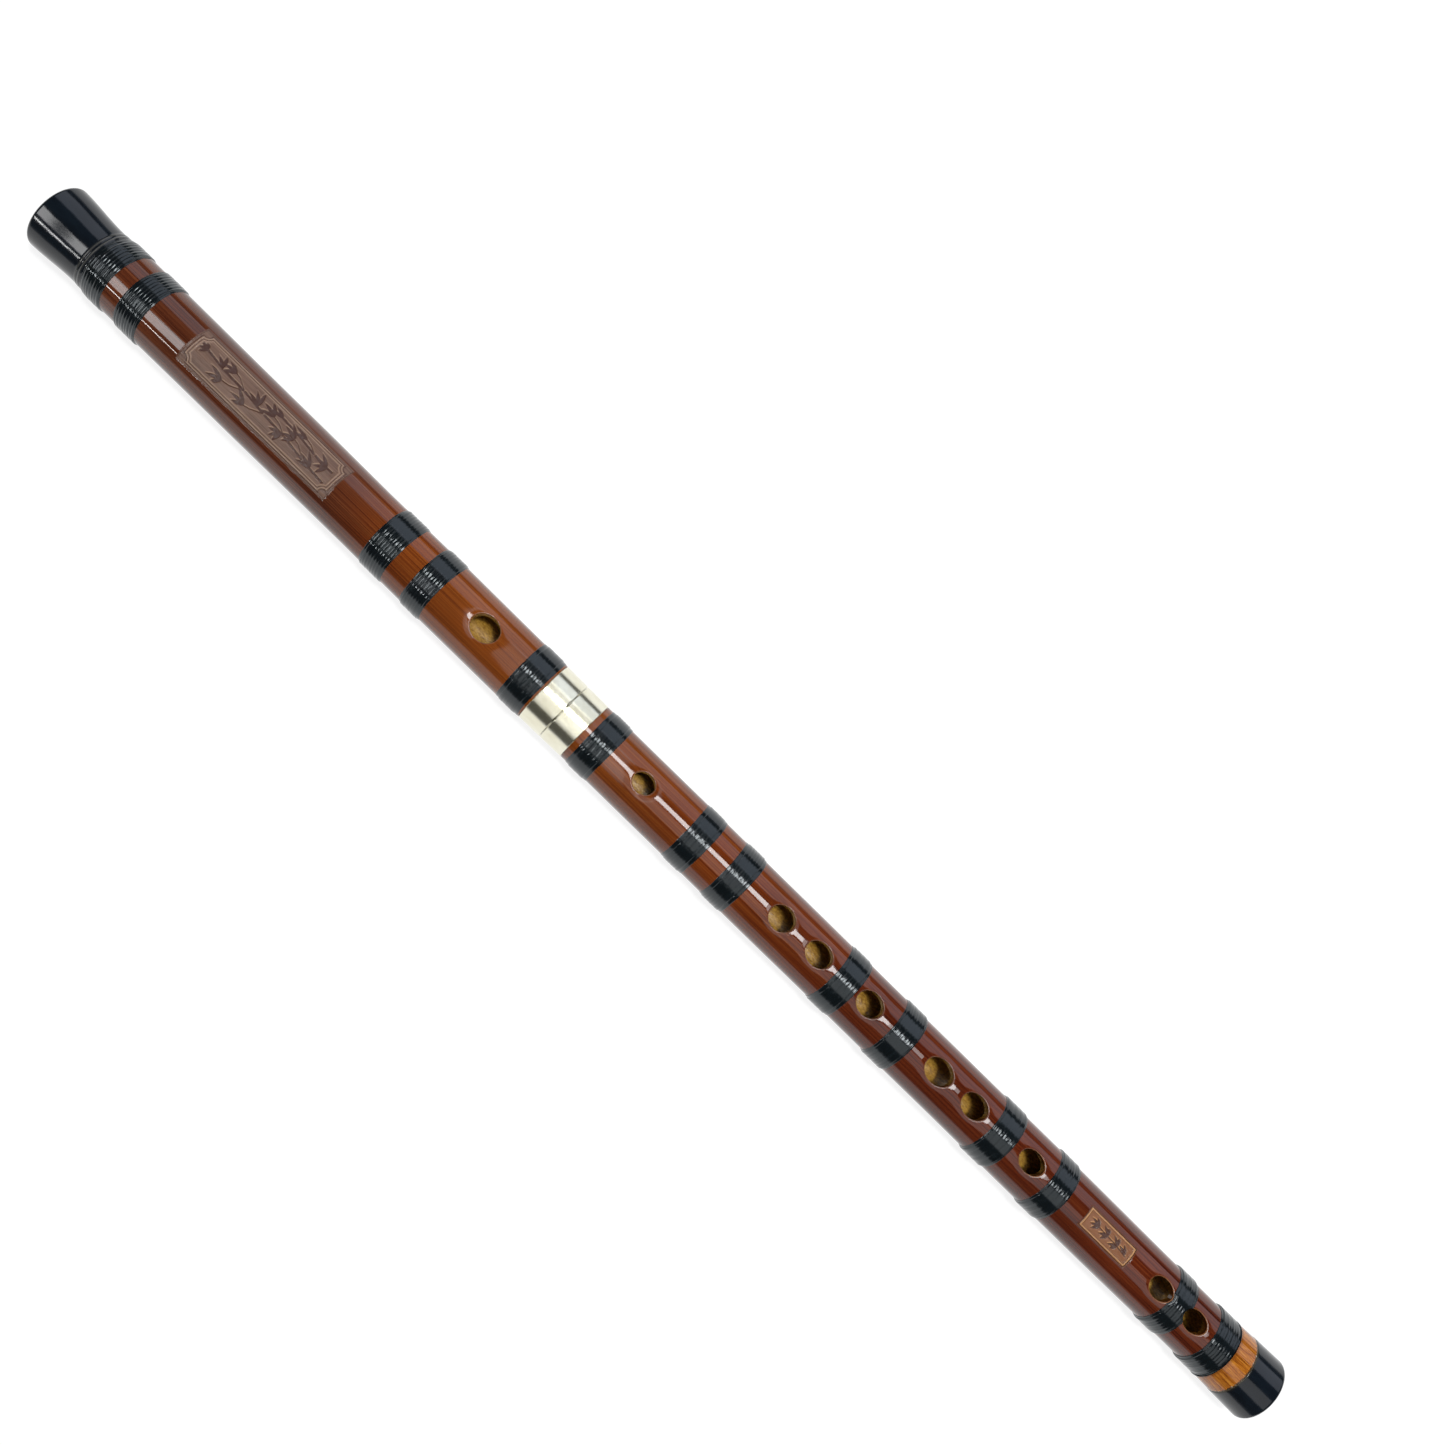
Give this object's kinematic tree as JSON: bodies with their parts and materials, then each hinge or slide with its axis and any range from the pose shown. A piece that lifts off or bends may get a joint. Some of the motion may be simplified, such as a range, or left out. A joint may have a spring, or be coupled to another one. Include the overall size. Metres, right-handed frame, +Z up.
{
  "type": "bamboo flute",
  "caption": "Transverse bamboo flute in two sections with a metal tuning joint, dark thread bindings, an open head cap and foot ferrule, finger holes and a membrane hole.",
  "frame": {"origin": "mid-length of the closed flute, on the surface that it lies on, under its axis", "axes": "+X from the head end to the foot end, +Z up out of the playing holes, +Y towards the player's right as they face the head end"},
  "size_m": [0.5604, 0.0246, 0.0246],
  "materials": {
    "bamboo": "red-brown stained bamboo under clear gloss lacquer",
    "horn": "polished black horn-like plastic",
    "thread": "black thread under satin lacquer",
    "nickel_silver": "polished nickel silver",
    "cork": "natural cork"
  },
  "bodies": {
    "head_section": {"head_cap": "horn", "head_tube": "bamboo", "socket_sleeve": "nickel_silver", "head_collar": "nickel_silver", "thread_binding_01": "thread", "thread_binding_02": "thread", "thread_binding_03": "thread", "thread_binding_04": "thread", "thread_binding_05": "thread"},
    "stopper": {"cork_stopper": "cork"},
    "tenon": {"tenon_tube": "nickel_silver"},
    "foot_section": {"foot_collar": "nickel_silver", "foot_tube": "bamboo", "foot_ferrule": "horn", "thread_binding_06": "thread", "thread_binding_07": "thread", "thread_binding_08": "thread", "thread_binding_09": "thread", "thread_binding_10": "thread", "thread_binding_11": "thread", "thread_binding_12": "thread", "thread_binding_13": "thread", "thread_binding_14": "thread"}
  },
  "joints": [
    {"name": "stopper_slide", "type": "slide", "parent": "head_section", "child": "stopper", "axis": [1, 0, 0], "range_m": [-0.003, 0.003]},
    {"name": "tuning_slide", "type": "slide", "parent": "head_section", "child": "tenon", "axis": [1, 0, 0], "range_m": [0, 0.02]},
    {"name": "foot_turn", "type": "hinge", "parent": "tenon", "child": "foot_section", "pos_m": [-0.04922, 0, 0.01228], "axis": [1, 0, 0], "continuous": true}
  ]
}
